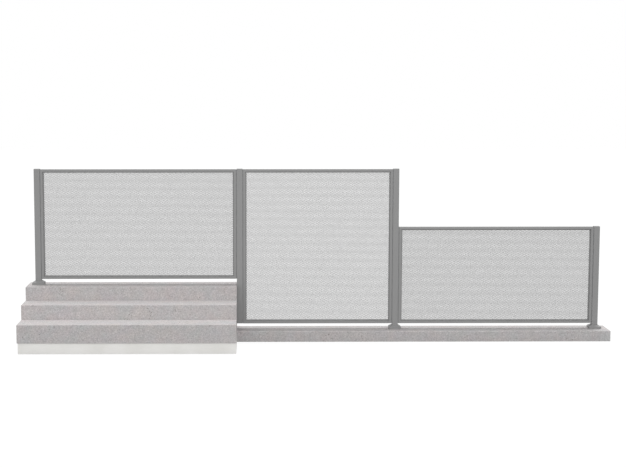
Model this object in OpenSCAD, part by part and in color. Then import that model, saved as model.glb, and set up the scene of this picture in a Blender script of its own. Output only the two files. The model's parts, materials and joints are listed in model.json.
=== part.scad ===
// Perforated pool fence: three framed sheet panels between square posts, stepping up
// over a flight of concrete steps and running on along a low concrete plinth. The sheets
// are plain plates here: their small round holes run into tens of thousands.
// X runs along the fence, -Y is the side that the steps face, and Z is up from the
// underside of the concrete. The origin is at the middle of that underside.

/* [Panels] */
// Width of the panel over the steps, outside its frame
step_panel_w = 2400; // [1200:10:3000]
// Width of the tall middle panel
mid_panel_w = 1840; // [1000:10:2400]
// Width of the low panel
low_panel_w = 2400; // [1200:10:3000]
// Height of the tall middle panel
mid_panel_h = 1913; // [1600:1:2400]
// Height of the low panel
low_panel_h = 1200; // [900:10:1400]
// Clear gap under every panel
ground_gap = 68; // [40:1:100]

/* [Frame section] */
// Width of the frame's box seen from the front, without its lips
frame_face = 30; // [20:1:50]
// Depth of the frame's box from front to back
frame_depth = 60; // [36:1:70]
// Wall of the frame's box
frame_wall = 2.5; // [1.5:0.5:4]
// How far the two lips stand out from the box to hold the sheet
lip_h = 12; // [6:1:16]
// Thickness of each lip
lip_t = 2.5; // [1.5:0.5:4]
// Radius of the frame's outer edges
frame_edge_r = 1.5; // [0.5:0.5:3]

/* [Sheet] */
// Thickness of the perforated sheet
sheet_t = 3; // [1.5:0.5:5]
// Clearance on each face of the sheet between the lips
sheet_play = 0.3; // [0.1:0.1:1]
// Clearance between the sheet's edge and the bottom of the groove
sheet_edge_play = 1; // [0.5:0.5:3]

/* [Posts] */
// Side of the square posts
post_w = 72; // [60:1:100]
// Wall of the posts
post_wall = 3; // [2:0.5:6]
// Radius of the posts' outer edges
post_edge_r = 3; // [1:0.5:5]
// Gap between a post and the panel frame beside it, filled by a packing strip
side_gap = 6; // [3:0.5:12]
// Height from the plinth's top to the lower end of the second post
second_post_lift = 76; // [20:1:150]
// Thickness of the cap's top plate
cap_t = 6; // [3:1:12]
// Depth of the cap's plug inside the post
cap_plug = 18; // [10:1:40]
// Clearance between the cap's plug and the post's bore
cap_play = 0.3; // [0.1:0.1:1]

/* [Feet] */
// Side of the square base plates
base_plate_w = 130; // [110:5:160]
// Thickness of the base plates
base_plate_t = 10; // [6:1:16]
// Diameter of the anchor holes in the base plates
plate_hole_d = 12; // [9:1:18]
// Distance from a base plate's edge to the middle of its anchor holes
plate_hole_inset = 16; // [12:1:25]
// Side of the square base covers at their rim
cover_w = 146; // [140:2:200]
// Height of the covers' upright rim
cover_rim = 27; // [8:1:30]
// Full height of the covers
cover_h = 48; // [36:1:80]
// Wall of the covers
cover_wall = 2.5; // [1.5:0.5:5]
// Clearance between a cover and its post
cover_play = 0.5; // [0.3:0.1:2]

/* [Packing strips] */
// How far the strips between frame and post lie back from the frame's faces
packer_recess = 5; // [2:1:15]
// How far the strips stop short of the frame's top and bottom
packer_short = 2; // [0:1:20]

/* [Steps] */
// Rise of the bottom step, from the top of its footing to its tread
bottom_rise = 220; // [120:5:250]
// Rise of the middle step
middle_rise = 176; // [120:1:200]
// Rise of the top step
top_rise = 164; // [120:1:200]
// Going of each of the two lower treads
going = 365; // [250:5:450]
// Depth of the top tier, which carries the fence
top_depth = 415; // [350:5:600]
// Distance from the steps' free end to the first post
end_margin = 92; // [50:1:200]
// How far the footing is set back from the steps' front and free end
footing_inset = 10; // [0:5:150]
// Width of the bevel along the open upper edges of the concrete
arris = 4; // [1:1:10]

/* [Plinth] */
// Height of the plinth, and of the footing that carries it on under the steps
plinth_h = 130; // [80:5:200]
// Depth of the plinth
plinth_depth = 385; // [360:5:600]
// Distance from the last post to the plinth's end
last_margin = 120; // [50:1:250]
// Distance from the concrete's back to the middle of the fence
fence_back = 175; // [100:5:180]

/* [Hidden] */

metal = "#8f9092";
concrete = "#b9b5ae";
lean_concrete = "#efeeea";
sheet_metal = "#a3a5a7";
packer_plastic = "#55585a";

// places along the fence: each post's left face, and each bay between two posts
step_opening = step_panel_w + 2 * side_gap;
mid_opening = mid_panel_w + 2 * side_gap;
low_opening = low_panel_w + 2 * side_gap;
steps_l = end_margin + post_w + step_opening;
total_l = steps_l + 3 * post_w + mid_opening + low_opening + last_margin;
x_start = -total_l / 2;
post_x = [
    x_start + end_margin,
    x_start + steps_l,
    x_start + steps_l + post_w + mid_opening,
    x_start + steps_l + 2 * post_w + mid_opening + low_opening
];

// places across the fence
total_d = top_depth + 2 * going;
y_back = total_d / 2;
y_fence = y_back - fence_back;

// heights
steps_z = plinth_h + bottom_rise + middle_rise + top_rise;
mid_panel_z = plinth_h + ground_gap;
step_panel_z = steps_z + ground_gap;
high_top = mid_panel_z + mid_panel_h;
low_top = mid_panel_z + low_panel_h;
step_panel_h = high_top - step_panel_z;
second_post_z = plinth_h + second_post_lift;

// [left end, bottom, width, height] of each panel
step_panel = [post_x[0] + post_w + side_gap, step_panel_z, step_panel_w, step_panel_h];
mid_panel = [post_x[1] + post_w + side_gap, mid_panel_z, mid_panel_w, mid_panel_h];
low_panel = [post_x[2] + post_w + side_gap, mid_panel_z, low_panel_w, low_panel_h];

// the sheet's groove between the lips, and how far into the frame the sheet reaches
groove = sheet_t + 2 * sheet_play;
sheet_inset = frame_face + sheet_edge_play;
post_bore = post_w - 2 * post_wall;
curve = 32;

// ---- shared shapes ----

module rounded_rect(w, d, r) {
    union() {
        square([w, d - 2 * r], center = true);
        square([w - 2 * r, d], center = true);
        for (x = [-1, 1], y = [-1, 1])
            translate([x * (w / 2 - r), y * (d / 2 - r)]) circle(r, $fn = curve);
    }
}

// Frame extrusion seen on end: a box with its back at x = 0 and two lips towards +X
module frame_section() {
    difference() {
        union() {
            translate([frame_face / 2, 0]) rounded_rect(frame_face, frame_depth, frame_edge_r);
            for (side = [-1, 1])
                translate([frame_face - frame_wall, side * (groove + lip_t) / 2 - lip_t / 2])
                    square([frame_wall + lip_h, lip_t]);
        }
        translate([frame_wall, -frame_depth / 2 + frame_wall])
            square([frame_face - 2 * frame_wall, frame_depth - 2 * frame_wall]);
    }
}

// One mitred side of a panel's frame, laid along +X with its lips towards +Z
module frame_side(length) {
    intersection() {
        rotate([0, 90, 0]) rotate([0, 0, 180]) linear_extrude(length) frame_section();
        rotate([90, 0, 0]) linear_extrude(2 * frame_depth, center = true)
            polygon([[0, 0], [length, 0], [length / 2, length / 2]]);
    }
}

// Puts a side that was laid along +X at the panel's left, right, top or bottom
module on_panel(panel, place) {
    turns = ["bottom", "right", "top", "left"];
    corner = [[0, 0], [1, 0], [1, 1], [0, 1]];
    k = search([place], turns)[0];
    color(metal)
        translate([panel[0] + corner[k][0] * panel[2], y_fence, panel[1] + corner[k][1] * panel[3]])
            rotate([0, -90 * k, 0]) children();
}

module stile(panel, place) on_panel(panel, place) frame_side(panel[3]);

module rail(panel, place) on_panel(panel, place) frame_side(panel[2]);

module sheet(panel) {
    color(sheet_metal)
        translate([panel[0] + sheet_inset, y_fence - sheet_t / 2, panel[1] + sheet_inset])
            cube([panel[2] - 2 * sheet_inset, sheet_t, panel[3] - 2 * sheet_inset]);
}

// Strips that fill the gaps between a frame and its two posts
module packers(panel) {
    depth = frame_depth - 2 * packer_recess;
    color(packer_plastic)
        for (x = [panel[0] - side_gap, panel[0] + panel[2]])
            translate([x, y_fence - depth / 2, panel[1] + packer_short])
                cube([side_gap, depth, panel[3] - 2 * packer_short]);
}

// Square tube from z_low to z_high, with its left face at post_x[i]
module post(i, z_low, z_high) {
    color(metal) translate([post_x[i] + post_w / 2, y_fence, z_low])
        linear_extrude(z_high - z_low) difference() {
            rounded_rect(post_w, post_w, post_edge_r);
            square(post_bore, center = true);
        }
}

// End plate with a plug that fits the post's bore; up is 1 at a top end and -1 below
module end_cap(i, z, up) {
    plug_w = post_bore - 2 * cap_play;
    color(metal) translate([post_x[i] + post_w / 2, y_fence, z])
        mirror([0, 0, up == 1 ? 0 : 1]) {
            linear_extrude(cap_t) rounded_rect(post_w, post_w, post_edge_r);
            translate([-plug_w / 2, -plug_w / 2, -cap_plug])
                cube([plug_w, plug_w, cap_plug]);
        }
}

module base_plate(i, z) {
    hole = base_plate_w / 2 - plate_hole_inset;
    color(metal) translate([post_x[i] + post_w / 2, y_fence, z])
        linear_extrude(base_plate_t) difference() {
            square(base_plate_w, center = true);
            for (x = [-hole, hole], y = [-hole, hole])
                translate([x, y]) circle(d = plate_hole_d, $fn = curve);
        }
}

// Four-sided hood: an upright rim, then a slope up to the post
module hood(w, rim, h, neck) {
    outline = [[-w / 2, 0], [w / 2, 0], [w / 2, rim], [neck / 2, h], [-neck / 2, h], [-w / 2, rim]];
    intersection_for (turn = [0, 90])
        rotate([90, 0, turn]) linear_extrude(2 * w, center = true) polygon(outline);
}

module base_cover(i, z) {
    neck = post_w + 2 * cover_play;
    color(metal) translate([post_x[i] + post_w / 2, y_fence, z])
        difference() {
            hood(cover_w, cover_rim, cover_h, neck + 2 * cover_wall);
            translate([0, 0, -cover_wall])
                hood(cover_w - 2 * cover_wall, cover_rim, cover_h, neck);
            linear_extrude(3 * cover_h, center = true) square(neck, center = true);
        }
}

// Block of concrete with bevels along the upper edges that are named; the bevels on
// its ends run back from its front as far as nothing stands on it
module bevelled_block(size, open, ends, back = false) {
    color(concrete) difference() {
        cube(size);
        for (y = back ? [0, size[1]] : [0])
            translate([size[0] / 2, y, size[2]]) bevel_cut(size[0] + 2 * arris);
        for (x = ends)
            translate([x * size[0], open / 2, size[2]]) rotate([0, 0, 90]) bevel_cut(open);
    }
}

module bevel_cut(length) {
    side = arris * sqrt(2);
    rotate([45, 0, 0]) cube([length, side, side], center = true);
}

// One tier of the steps; it ends at the second post, and the tier above leaves it open
// over part of its depth
module tier(z, rise, depth, open) {
    translate([x_start, y_back - depth, z])
        bevelled_block([steps_l, depth, rise], open, [0, 1], back = open == depth);
}

// ---- pieces ----

module step_footing() {
    color(lean_concrete) translate([x_start + footing_inset, footing_inset - y_back, 0])
        cube([steps_l - footing_inset, total_d - footing_inset, plinth_h]);
}

module step_bottom() tier(plinth_h, bottom_rise, total_d, going);
module step_middle() tier(plinth_h + bottom_rise, middle_rise, top_depth + going, going);
module step_top() tier(steps_z - top_rise, top_rise, top_depth, top_depth);

module plinth() {
    translate([x_start + steps_l, y_back - plinth_depth, 0])
        bevelled_block([total_l - steps_l, plinth_depth, plinth_h], plinth_depth, [1], back = true);
}

step_footing();
step_bottom();
step_middle();
step_top();
plinth();
post(0, steps_z + base_plate_t, high_top);  // post_1
post(1, second_post_z, high_top);  // post_2
post(2, plinth_h + base_plate_t, high_top);  // post_3
post(3, plinth_h + base_plate_t, low_top);  // post_4
end_cap(0, high_top, 1);  // cap_1
end_cap(1, high_top, 1);  // cap_2
end_cap(2, high_top, 1);  // cap_3
end_cap(3, low_top, 1);  // cap_4
end_cap(1, second_post_z, -1);  // foot_plug_2
base_plate(0, steps_z);  // base_plate_1
base_plate(2, plinth_h);  // base_plate_3
base_plate(3, plinth_h);  // base_plate_4
base_cover(0, steps_z);  // base_cover_1
base_cover(2, plinth_h);  // base_cover_3
base_cover(3, plinth_h);  // base_cover_4
stile(step_panel, "left");  // step_bay_left_stile
stile(step_panel, "right");  // step_bay_right_stile
rail(step_panel, "top");  // step_bay_top_rail
rail(step_panel, "bottom");  // step_bay_bottom_rail
sheet(step_panel);  // step_bay_sheet
stile(mid_panel, "left");  // mid_bay_left_stile
stile(mid_panel, "right");  // mid_bay_right_stile
rail(mid_panel, "top");  // mid_bay_top_rail
rail(mid_panel, "bottom");  // mid_bay_bottom_rail
sheet(mid_panel);  // mid_bay_sheet
stile(low_panel, "left");  // low_bay_left_stile
stile(low_panel, "right");  // low_bay_right_stile
rail(low_panel, "top");  // low_bay_top_rail
rail(low_panel, "bottom");  // low_bay_bottom_rail
sheet(low_panel);  // low_bay_sheet
packers(step_panel);  // step_bay_packers
packers(mid_panel);  // mid_bay_packers
packers(low_panel);  // low_bay_packers
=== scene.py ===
import json
import math

import bpy
import numpy as np
from mathutils import Euler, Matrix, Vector
from mathutils.geometry import tessellate_polygon


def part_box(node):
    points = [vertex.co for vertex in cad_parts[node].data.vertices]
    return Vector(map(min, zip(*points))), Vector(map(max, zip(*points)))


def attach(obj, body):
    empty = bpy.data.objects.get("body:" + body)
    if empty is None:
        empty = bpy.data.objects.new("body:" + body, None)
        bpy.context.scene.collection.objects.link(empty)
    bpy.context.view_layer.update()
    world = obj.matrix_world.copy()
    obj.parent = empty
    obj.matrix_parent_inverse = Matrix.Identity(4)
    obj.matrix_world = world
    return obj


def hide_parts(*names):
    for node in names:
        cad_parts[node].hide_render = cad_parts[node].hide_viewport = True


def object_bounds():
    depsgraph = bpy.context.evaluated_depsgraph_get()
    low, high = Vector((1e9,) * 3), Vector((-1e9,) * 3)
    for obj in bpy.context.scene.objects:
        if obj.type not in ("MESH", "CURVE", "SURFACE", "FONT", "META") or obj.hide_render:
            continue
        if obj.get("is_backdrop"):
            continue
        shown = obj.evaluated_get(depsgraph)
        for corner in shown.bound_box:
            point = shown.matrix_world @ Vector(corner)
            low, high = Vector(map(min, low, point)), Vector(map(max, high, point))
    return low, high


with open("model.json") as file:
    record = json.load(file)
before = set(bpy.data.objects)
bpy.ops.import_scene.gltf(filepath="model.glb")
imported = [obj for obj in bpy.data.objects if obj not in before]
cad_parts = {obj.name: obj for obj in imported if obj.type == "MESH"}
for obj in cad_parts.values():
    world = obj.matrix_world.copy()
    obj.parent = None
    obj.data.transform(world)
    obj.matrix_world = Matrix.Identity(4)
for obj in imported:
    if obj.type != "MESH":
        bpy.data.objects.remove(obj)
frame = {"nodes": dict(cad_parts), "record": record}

cadLow, cadHigh = (Vector(corner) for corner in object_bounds())
root = "root"
mm = 0.001
print("frame loaded:", len(frame["nodes"]), "CAD nodes")


def hexColour(code, alpha=1.0):
    # sRGB hex to the linear values that shaders work in
    channels = [int(code[i:i + 2], 16) / 255 for i in (1, 3, 5)]
    linear = [c / 12.92 if c <= 0.04045 else ((c + 0.055) / 1.055) ** 2.4 for c in channels]
    return (*linear, alpha)


def setNode(tree, node, settings):
    # a setting is an input or a property; one that is another node's output is linked, and
    # "stops" are the places and colours of a colour ramp
    for name, value in settings.items():
        if isinstance(value, bpy.types.NodeSocket):
            tree.links.new(value, node.inputs[name])
        elif name == "stops":
            for _ in value[2:]:
                node.color_ramp.elements.new(0.5)
            for element, (at, colour) in zip(node.color_ramp.elements, value):
                element.position = at
                element.color = colour
        elif isinstance(name, int) or name in node.inputs:
            node.inputs[name].default_value = value
        else:
            setattr(node, name, value)


def addNode(tree, kind, settings=None):
    node = tree.nodes.new(kind)
    setNode(tree, node, settings or {})
    return node


# lens for a 36 mm wide sensor; the stand is given from the middle of the fence's underside
camera = {"lens": 80.96, "aside": -0.857, "back": 16.86, "height": 3.253,
          "down": 6.42, "turn": 0.52, "shiftX": 0.0814}


def makeCamera():
    data = bpy.data.cameras.new("camera")
    data.lens = camera["lens"]
    data.sensor_width = 36
    data.shift_x = camera["shiftX"]
    data.clip_end = 200
    cam = bpy.data.objects.new("camera", data)
    bpy.context.scene.collection.objects.link(cam)
    cam.location = (camera["aside"], -camera["back"], camera["height"])
    cam.rotation_euler = Euler((math.radians(90 - camera["down"]), 0,
                                math.radians(-camera["turn"])), "XYZ")
    bpy.context.scene.camera = cam


# an even pale sky, a soft light from high behind the fence, and a large softbox in front
studio = {"skyStrength": 0.89,
          "overheadStrength": 1.28, "overheadSoftness": 16, "overheadHeight": 81, "overheadAside": 10,
          "softboxPower": 980, "softboxSize": 10.0, "softboxPlace": (0.0, -20.0, 6.3), "softboxAim": 1.1,
          "floorColour": "#969696", "floorWhite": 1.25, "floorShadow": 0.25, "floorSize": 90}


def seenDirectly(tree):
    # 1 for rays that go straight to the eye or by way of a gloss or a clear material
    path = addNode(tree, "ShaderNodeLightPath")
    first = addNode(tree, "ShaderNodeMath", {"operation": "MAXIMUM", 0: path.outputs["Is Camera Ray"],
                                             1: path.outputs["Is Glossy Ray"]})
    return addNode(tree, "ShaderNodeMath", {"operation": "MAXIMUM", 0: first.outputs[0],
                                            1: path.outputs["Is Transmission Ray"]}).outputs[0]


def makeWorld():
    world = bpy.data.worlds.new("studio")
    world.use_nodes = True
    tree = world.node_tree
    tree.nodes.clear()
    strength = addNode(tree, "ShaderNodeMapRange", {"Value": seenDirectly(tree),
                                                    "To Min": studio["skyStrength"], "To Max": 1.0})
    sky = addNode(tree, "ShaderNodeBackground", {"Color": hexColour("#ffffff"),
                                                 "Strength": strength.outputs["Result"]})
    addNode(tree, "ShaderNodeOutputWorld", {"Surface": sky.outputs["Background"]})
    bpy.context.scene.world = world


def addLamp(name, kind, settings):
    data = bpy.data.lights.new(name, kind)
    for key, value in settings.items():
        setattr(data, key, value)
    lamp = bpy.data.objects.new(name, data)
    bpy.context.scene.collection.objects.link(lamp)
    return lamp


def makeLamps():
    overhead = addLamp("overheadLight", "SUN", {"energy": studio["overheadStrength"],
                                                "angle": math.radians(studio["overheadSoftness"])})
    up, aside = math.radians(studio["overheadHeight"]), math.radians(studio["overheadAside"])
    towards = Vector((math.sin(aside) * math.cos(up), math.cos(aside) * math.cos(up), math.sin(up)))
    overhead.rotation_euler = towards.to_track_quat("Z", "Y").to_euler()
    softbox = addLamp("softbox", "AREA", {"energy": studio["softboxPower"], "shape": "SQUARE",
                                          "size": studio["softboxSize"]})
    softbox.location = studio["softboxPlace"]
    back = softbox.location - Vector((softbox.location.x, 0, studio["softboxAim"]))
    softbox.rotation_euler = back.to_track_quat("Z", "Y").to_euler()


def makeFloor():
    # white to the eye, with a light shadow kept; the light that it throws back is its own grey's
    half = studio["floorSize"] / 2
    mesh = bpy.data.meshes.new("floor")
    mesh.from_pydata([(-half, -half, 0), (half, -half, 0), (half, half, 0), (-half, half, 0)],
                     [], [(0, 1, 2, 3)])
    floor = bpy.data.objects.new("floor", mesh)
    bpy.context.scene.collection.objects.link(floor)
    floor.location.z = cadLow.z
    material = bpy.data.materials.new("pale floor")
    material.use_nodes = True
    tree = material.node_tree
    tree.nodes.clear()
    matte = addNode(tree, "ShaderNodeBsdfDiffuse", {"Color": hexColour(studio["floorColour"])})
    glow = addNode(tree, "ShaderNodeEmission", {"Strength": studio["floorWhite"]})
    share = addNode(tree, "ShaderNodeMath", {"operation": "MULTIPLY", 0: seenDirectly(tree),
                                             1: 1 - studio["floorShadow"]})
    both = addNode(tree, "ShaderNodeMixShader", {0: share.outputs[0], 1: matte.outputs[0],
                                                 2: glow.outputs[0]})
    addNode(tree, "ShaderNodeOutputMaterial", {"Surface": both.outputs[0]})
    mesh.materials.append(material)
    floor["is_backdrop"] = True


makeCamera()
makeWorld()
makeLamps()
makeFloor()
bpy.context.scene.view_settings.view_transform = "Standard"
print("camera, light and floor made")


def newMaterial(name):
    material = bpy.data.materials.new(name)
    material.use_nodes = True
    tree = material.node_tree
    tree.nodes.clear()
    shader = addNode(tree, "ShaderNodeBsdfPrincipled")
    addNode(tree, "ShaderNodeOutputMaterial", {"Surface": shader.outputs["BSDF"]})
    place = addNode(tree, "ShaderNodeTexCoord").outputs["Object"]
    return material, tree, shader, place


def cloudTone(tree, place, look):
    # slow clouds between a finish's two tones; returns the colour, and the clouds on their own
    cloud = addNode(tree, "ShaderNodeTexNoise", {"Vector": place, "Scale": 1 / look["cloud"],
                                                 "Detail": look["cloudDetail"]}).outputs["Fac"]
    low, high = map(hexColour, look["tones"])
    stops = [(0.5 - look["cloudReach"], low), (0.5 + look["cloudReach"], high)]
    return addNode(tree, "ShaderNodeValToRGB", {"Fac": cloud, "stops": stops}).outputs["Color"], cloud


def noiseBump(tree, place, look, name):
    # fine relief out of noise, by the size, bump and depth that a finish gives it; returns a normal
    lumps = addNode(tree, "ShaderNodeTexNoise", {"Vector": place, "Scale": 1 / look[name], "Detail": 2})
    return addNode(tree, "ShaderNodeBump", {"Height": lumps.outputs["Fac"],
                                            "Strength": look[name + "Bump"],
                                            "Distance": look[name + "Depth"]}).outputs["Normal"]


def wornEdges(tree, place, colour, look):
    # pales the edges, where a rounded normal leaves the flat one, as far as a cloud lets it
    rounded = addNode(tree, "ShaderNodeBevel", {"Radius": look["wornReach"], "samples": 4})
    flat = addNode(tree, "ShaderNodeNewGeometry")
    agree = addNode(tree, "ShaderNodeVectorMath", {"operation": "DOT_PRODUCT",
                                                   0: rounded.outputs["Normal"], 1: flat.outputs["Normal"]})
    edge = addNode(tree, "ShaderNodeMapRange", {"Value": agree.outputs["Value"],
                                                "From Min": 0.99, "From Max": 0.8})
    cloud = addNode(tree, "ShaderNodeTexNoise", {"Vector": place, "Scale": 1 / look["wornPatch"],
                                                 "Detail": 3})
    broken = addNode(tree, "ShaderNodeMapRange", {"Value": cloud.outputs["Fac"],
                                                  "From Min": 0.35, "From Max": 0.65})
    worn = addNode(tree, "ShaderNodeMath", {"operation": "MULTIPLY", 0: edge.outputs["Result"],
                                            1: broken.outputs["Result"]})
    return addNode(tree, "ShaderNodeMix", {"data_type": "RGBA", 0: worn.outputs[0], 6: colour,
                                           7: hexColour(look["worn"])}).outputs[2]


# sizes are in metres; orange peel is about 1 mm across, drawn 4 mm so that it shows
coat = {"tones": ("#8c8c8c", "#909090"), "cloud": 600 * mm, "cloudDetail": 3, "cloudReach": 0.2,
        "peel": 4 * mm, "peelBump": 0.08, "peelDepth": 0.2 * mm,
        "worn": "#a3a4a4", "wornReach": 1.2 * mm, "wornPatch": 90 * mm, "roughness": (0.44, 0.52)}


def powderCoat(name, worn=True):
    # polyester powder baked on aluminium: an even satin grey, a little thin and pale on the edges
    material, tree, shader, place = newMaterial(name)
    tone, cloud = cloudTone(tree, place, coat)
    if worn:
        tone = wornEdges(tree, place, tone, coat)
    low, high = coat["roughness"]
    sheen = addNode(tree, "ShaderNodeMapRange", {"Value": cloud, "From Min": 0.3, "From Max": 0.7,
                                                 "To Min": low, "To Max": high})
    setNode(tree, shader, {"Base Color": tone, "Roughness": sheen.outputs["Result"], "IOR": 1.5,
                           "Normal": noiseBump(tree, place, coat, "peel")})
    return material


# in life the grains are 2 to 5 mm across, the pores 2 to 4 and the pits 5; all are drawn about
# three times as wide, so that they show from across a garden, and the fine sand is true to size
cast = {"tones": ("#b9b7b7", "#bbb7b7", "#bdb8b7"), "cloud": 200 * mm, "tint": (0.984, 1.016),
        "mottle": 60 * mm, "mottleShade": (0.95, 1.05), "grain": 15 * mm, "grainShade": (0.76, 1.23),
        "fine": 3 * mm, "fineShade": (0.8, 1.2), "askew": (0.6, 0.4, 0.9),
        # pore: painted shade, the darker colour that the pores and the pits are given
        "pore": "#7d7874", "poreGap": 45 * mm, "poreRadius": 4 * mm,
        "pitGap": 30 * mm, "pitRadius": 8 * mm, "pitPatch": 160 * mm,
        "relief": 0.6 * mm, "grainBump": 0.35, "poreBump": 0.6,
        "worn": "#cfccc9", "wornReach": 6 * mm, "wornPatch": 120 * mm, "roughness": (0.82, 0.93)}


def castNoises(tree, place):
    # one noise for each scale in the concrete, from slow clouds to fine sand, with its detail and
    # how rough that detail is
    kinds = (("cloud", 4, 0.6), ("mottle", 2, 0.5), ("grain", 2, 0.6), ("fine", 1, 0.5),
             ("pitPatch", 2, 0.5))
    return {key: addNode(tree, "ShaderNodeTexNoise", {"Vector": place, "Scale": 1 / cast[key],
                                                      "Detail": detail, "Roughness": rough})
            for key, detail, rough in kinds}


def castColour(tree, noise):
    # warm and cool clouds with the mottle, the grain and the sand multiplied in
    stops = list(zip((0.36, 0.5, 0.64), map(hexColour, cast["tones"])))
    colour = addNode(tree, "ShaderNodeValToRGB", {"Fac": noise["cloud"].outputs["Fac"],
                                                  "stops": stops}).outputs["Color"]
    # red, green and blue each drift on their own, which tints the patches; a vector's range is in
    # inputs 7 to 10
    low, high = cast["tint"]
    tint = addNode(tree, "ShaderNodeMapRange", {"data_type": "FLOAT_VECTOR",
                                                "Vector": noise["cloud"].outputs["Color"],
                                                7: (0.25, 0.25, 0.25), 8: (0.75, 0.75, 0.75),
                                                9: (low, low, low), 10: (high, high, high)})
    layers = [tint.outputs["Vector"]]
    for key in ("mottle", "grain", "fine"):
        low, high = cast[key + "Shade"]
        shade = addNode(tree, "ShaderNodeMapRange", {"Value": noise[key].outputs["Fac"], "From Min": 0.25,
                                                     "From Max": 0.75, "To Min": low, "To Max": high})
        layers.append(shade.outputs["Result"])
    for layer in layers:
        colour = addNode(tree, "ShaderNodeMix", {"data_type": "RGBA", "blend_type": "MULTIPLY",
                                                 0: 1.0, 6: colour, 7: layer}).outputs[2]
    return colour


def castConcrete():
    # precast concrete off a smooth mould: sandy speckle, warm and cool clouds, open pores, pits in
    # patches, both darkened with painted shade, and arrises that have worn pale
    material, tree, shader, straight = newMaterial("cast concrete")
    # noise that a face cuts along its own grid looks coarser, so the grid stands askew to them all
    place = addNode(tree, "ShaderNodeMapping", {"Vector": straight,
                                                "Rotation": cast["askew"]}).outputs["Vector"]
    noise = castNoises(tree, place)
    colour = wornEdges(tree, place, castColour(tree, noise), cast)
    normal = addNode(tree, "ShaderNodeBump", {"Height": noise["grain"].outputs["Fac"],
                                              "Strength": cast["grainBump"],
                                              "Distance": cast["relief"]}).outputs["Normal"]
    pitted = addNode(tree, "ShaderNodeMapRange", {"Value": noise["pitPatch"].outputs["Fac"],
                                                  "From Min": 0.56, "From Max": 0.66}).outputs["Result"]
    # pores everywhere and pits in patches: the bump dents each one, and its darker colour is painted shade
    # inside it
    for gap, radius, depth in ((cast["poreGap"], cast["poreRadius"], 1.0),
                               (cast["pitGap"], cast["pitRadius"], pitted)):
        cells = addNode(tree, "ShaderNodeTexVoronoi", {"Vector": place, "Scale": 1 / gap})
        pore = addNode(tree, "ShaderNodeMapRange", {"Value": cells.outputs["Distance"],
                                                    "From Min": radius / gap, "From Max": radius / gap / 2,
                                                    "To Max": depth}).outputs["Result"]
        colour = addNode(tree, "ShaderNodeMix", {"data_type": "RGBA", 0: pore, 6: colour,
                                                 7: hexColour(cast["pore"])}).outputs[2]
        normal = addNode(tree, "ShaderNodeBump", {"Height": pore, "Normal": normal, "invert": True,
                                                  "Strength": cast["poreBump"],
                                                  "Distance": cast["relief"]}).outputs["Normal"]
    low, high = cast["roughness"]
    dryness = addNode(tree, "ShaderNodeMapRange", {"Value": noise["cloud"].outputs["Fac"], "From Min": 0.25,
                                                   "From Max": 0.75, "To Min": low, "To Max": high})
    setNode(tree, shader, {"Base Color": colour, "Roughness": dryness.outputs["Result"], "IOR": 1.45,
                           "Normal": normal})
    return material


lean = {"tones": ("#ebeae6", "#f2f1ee"), "cloud": 250 * mm, "cloudDetail": 4, "cloudReach": 0.15,
        "float": 30 * mm, "floatBump": 0.4, "floatDepth": 0.5 * mm, "floatStretch": (0.15, 1, 1)}


def leanConcrete():
    # white lean concrete, floated by hand: a pale bed with soft float marks along its length
    material, tree, shader, place = newMaterial("floated lean concrete")
    tone, _ = cloudTone(tree, place, lean)
    along = addNode(tree, "ShaderNodeMapping", {"Vector": place, "Scale": lean["floatStretch"]})
    marks = noiseBump(tree, along.outputs["Vector"], lean, "float")
    setNode(tree, shader, {"Base Color": tone, "Roughness": 0.85, "IOR": 1.45, "Normal": marks})
    return material


strip = {"tones": ("#8a8b8c", "#939495"), "cloud": 17 * mm, "cloudDetail": 2, "cloudReach": 0.15,
         "line": 1.5 * mm, "lineBump": 0.3, "lineDepth": 0.1 * mm, "lineStretch": (1, 1, 0.01)}


def packingStrip():
    # extruded polypropylene: a waxy grey, with fine die lines down its length
    material, tree, shader, place = newMaterial("extruded polypropylene")
    tone, _ = cloudTone(tree, place, strip)
    down = addNode(tree, "ShaderNodeMapping", {"Vector": place, "Scale": strip["lineStretch"]})
    lines = noiseBump(tree, down.outputs["Vector"], strip, "line")
    setNode(tree, shader, {"Base Color": tone, "Roughness": 0.55, "IOR": 1.49, "Normal": lines})
    return material


mill = {"tones": ("#a9abad", "#b6b8ba"), "cloud": 40 * mm, "cloudDetail": 3, "cloudReach": 0.2,
        "grain": 2 * mm, "grainBump": 0.3, "grainDepth": 0.1 * mm, "grainStretch": (0.02, 1, 1)}


def millPlate():
    # rolled aluminium as it leaves the mill: bright, with a fine grain along the rolling
    material, tree, shader, place = newMaterial("rolled aluminium plate")
    tone, _ = cloudTone(tree, place, mill)
    rolled = addNode(tree, "ShaderNodeMapping", {"Vector": place, "Scale": mill["grainStretch"]})
    grain = noiseBump(tree, rolled.outputs["Vector"], mill, "grain")
    setNode(tree, shader, {"Base Color": tone, "Roughness": 0.38, "Metallic": 1.0, "Normal": grain})
    return material


materials = {"powder_coat": powderCoat("powder coated extrusion"),
             "perforated_sheet": powderCoat("powder coated perforated sheet", worn=False),
             "concrete": castConcrete(), "lean_concrete": leanConcrete(),
             "packer_plastic": packingStrip(), "base_plate_metal": millPlate()}

slotOf = {part["node"]: part["material_slot"] for part in frame["record"]["subparts"]}
for nodeName, cadNode in frame["nodes"].items():
    cadNode.data.materials.clear()
    cadNode.data.materials.append(materials[slotOf[nodeName]])
print("materials made")


# round holes in rows, each row half a pitch along from the last; sizes in millimetres. Each sheet
# is its front face with the upper part of every hole's wall
perforation = {"pitch": 16.3, "hole": {"step_bay": 11.15, "mid_bay": 11.67, "low_bay": 10.87},
               "foot": {"step_bay": 16.3, "mid_bay": 21.6, "low_bay": 18.6},  # edge to lowest row
               "head": {"step_bay": 15.4, "mid_bay": 16.4, "low_bay": 17.0},  # edge to highest row
               "side": 14, "holeSides": 12}
rimStep = 360 // perforation["holeSides"]  # degrees; it has to divide 30


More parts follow.
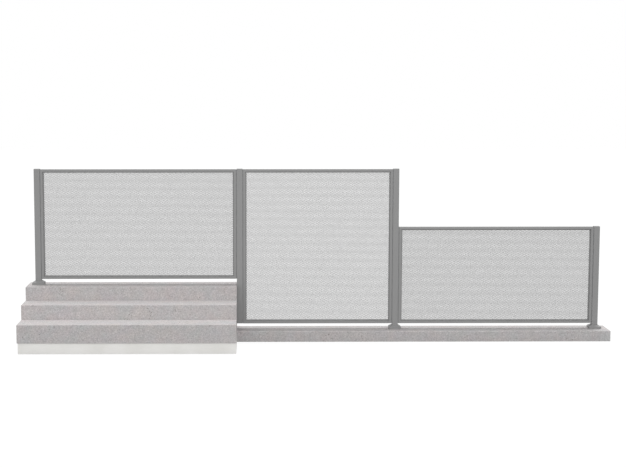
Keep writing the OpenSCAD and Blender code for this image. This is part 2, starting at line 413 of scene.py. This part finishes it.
def holeRim(hole):
    # a polygon with the area of the round hole, as a dictionary from degrees to points
    sides = perforation["holeSides"]
    evenArea = math.sqrt(math.pi / (sides / 2 * math.sin(2 * math.pi / sides)))
    radius = hole / 2 * mm * evenArea
    return {turn: np.array([radius * math.cos(math.radians(turn)), 0, radius * math.sin(math.radians(turn))])
            for turn in range(0, 360, rimStep)}


def rimArc(rim, middle, start, stop):
    step = rimStep if stop > start else -rimStep
    return [middle + rim[turn % 360] for turn in range(start, stop + step, step)]


def webPatches(rim, plan):
    # the flat patches between holes and at a sheet's side, as outlines around one hole's middle
    pitch, rise = plan["pitch"], plan["rise"]
    first, along, above = np.zeros(3), np.array([pitch, 0, 0]), np.array([pitch / 2, 0, rise])
    third, edge = np.array([0, 0, 2 * rise]), np.array([-plan["side"], 0, 0])
    between = rimArc(rim, along, 180, 120) + rimArc(rim, above, 300, 240) + rimArc(rim, first, 60, 0)
    beside = ([edge] + rimArc(rim, first, 180, 60) + rimArc(rim, above, 240, 120)
              + rimArc(rim, third, 300, 180) + [edge + third])
    return between, beside


def borderPatches(rim, plan, margin):
    # the same along a sheet's lower edge, and in its corner
    first, along = np.zeros(3), np.array([plan["pitch"], 0, 0])
    edge, down = np.array([-plan["side"], 0, 0]), np.array([0, 0, -margin])
    border = [down, along + down] + rimArc(rim, along, 270, 180) + rimArc(rim, first, 360, 270)
    corner = [edge + down, down] + rimArc(rim, first, 270, 180) + [edge]
    return border, corner


def repeat(outline, faces, places):
    points = (places[:, None, :] + outline[None, :, :]).reshape(-1, 3)
    index = faces[None, :, :] + (np.arange(len(places)) * len(outline))[:, None, None]
    return points, index.reshape(-1, 3)


def flatPatch(outline, places, flip=(1, 1, 1)):
    # cuts one outline into triangles that face the front, and sets a copy at each place
    outline = np.array(outline) * flip
    faces = np.array(tessellate_polygon([[Vector(point) for point in outline]]))
    a, b, c = (outline[faces[:, k]] for k in range(3))
    backward = np.cross(b - a, c - a)[:, 1] > 0
    faces[backward] = faces[backward][:, ::-1]
    return repeat(outline, faces, places)


def holeWalls(rim, places, depth):
    # the upper part of each hole's wall, which keeps steep light out; the rest is never seen
    turns = range(150, 30 - 1, -rimStep)
    outline = np.array([rim[turn] for turn in turns] + [rim[turn] + (0, depth, 0) for turn in turns])
    count = len(turns)
    faces = [face for k in range(count - 1)
             for face in ((k, k + 1, k + 1 + count), (k, k + 1 + count, k + count))]
    return repeat(outline, np.array(faces), places)


def joined(batches):
    # one mesh out of many. Points that fall on each other become one: each point's place, in
    # hundredths of a millimetre, is packed into one whole number to find them
    sizes = np.cumsum([0] + [len(points) for points, _ in batches])
    points = np.concatenate([points for points, _ in batches])
    index = np.concatenate([index + size for (_, index), size in zip(batches, sizes)])
    key = np.round(points / (0.01 * mm)).astype(np.int64) @ np.array([10 ** 9, 1, 10 ** 3])
    _, first, inverse = np.unique(key, return_index=True, return_inverse=True)
    return points[first], inverse[index]


def planRows(bay, width, height):
    # an odd number of rows from foot to head sets the rise, which sets the pitch along a row
    foot, head = (perforation[edge][bay] * mm for edge in ("foot", "head"))
    rows = 1 + 2 * round((height - foot - head) / (perforation["pitch"] * mm * math.sqrt(3)))
    rise = (height - foot - head) / (rows - 1)
    pitch = 2 * rise / math.sqrt(3)
    across = round((width - 2 * perforation["side"] * mm) / pitch)
    return {"foot": foot, "head": head, "rows": rows, "rise": rise, "pitch": pitch, "across": across,
            "side": (width - across * pitch) / 2, "width": width}


def rowPlaces(plan, row, start, stop):
    # middles of a row's holes from start to stop; every second row has one hole less
    odd = row % 2
    x = plan["side"] + (np.arange(plan["across"] + 1 - odd) + 0.5 * odd) * plan["pitch"]
    x = x[(x > start) & (x <= stop)]
    return np.stack([x, np.zeros(len(x)), np.full(len(x), plan["foot"] + row * plan["rise"])], axis=1)


def withNext(plan, holes):
    # those that have another hole to their right
    return holes[holes[:, 0] < plan["width"] - plan["side"] - 0.75 * plan["pitch"]]


def halfSheet(plan, rim, depth, part):
    # the left or the right half of a sheet, with the sheet's edge on that side
    rows, side, width = plan["rows"], plan["side"], plan["width"]
    if part == "left":
        start, stop, hand, column = 0, width / 2, 1, side
    else:
        start, stop, hand, column = width / 2, width, -1, width - side
    between, beside = webPatches(rim, plan)
    batches = []
    for row in range(rows):
        holes = rowPlaces(plan, row, start, stop)
        batches.append(holeWalls(rim, holes, depth))
        holes = withNext(plan, holes)
        if row < rows - 1:
            batches.append(flatPatch(between, holes))
        if row > 0:
            batches.append(flatPatch(between, holes, (1, 1, -1)))
    ends = np.array([[column, 0, plan["foot"] + row * plan["rise"]] for row in range(0, rows, 2)])
    batches.append(flatPatch(beside, ends[:-1], (hand, 1, 1)))
    for row, margin, up in ((0, plan["foot"], 1), (rows - 1, plan["head"], -1)):
        border, corner = borderPatches(rim, plan, margin)
        batches.append(flatPatch(border, withNext(plan, rowPlaces(plan, row, start, stop)), (1, 1, up)))
        batches.append(flatPatch(corner, ends[:1] if up > 0 else ends[-1:], (hand, 1, up)))
    return joined(batches)


def makeSheet(bay):
    low, high = (Vector(corner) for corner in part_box(bay + "_sheet"))
    width, depth, height = high - low
    plan = planRows(bay, width, height)
    rim = holeRim(perforation["hole"][bay])
    for part in ("left", "right"):
        points, index = halfSheet(plan, rim, depth, part)
        mesh = bpy.data.meshes.new(bay + "_perforated_" + part)
        mesh.from_pydata((points + np.array(low)).tolist(), [], index.tolist())
        mesh.materials.append(materials["perforated_sheet"])
        piece = bpy.data.objects.new(mesh.name, mesh)
        bpy.context.scene.collection.objects.link(piece)
        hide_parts(bay + "_sheet")
        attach(piece, root)
        print(mesh.name, len(index), "triangles")


for bay in ("step_bay", "mid_bay", "low_bay"):
    makeSheet(bay)
print("perforated sheets made")


print("done")
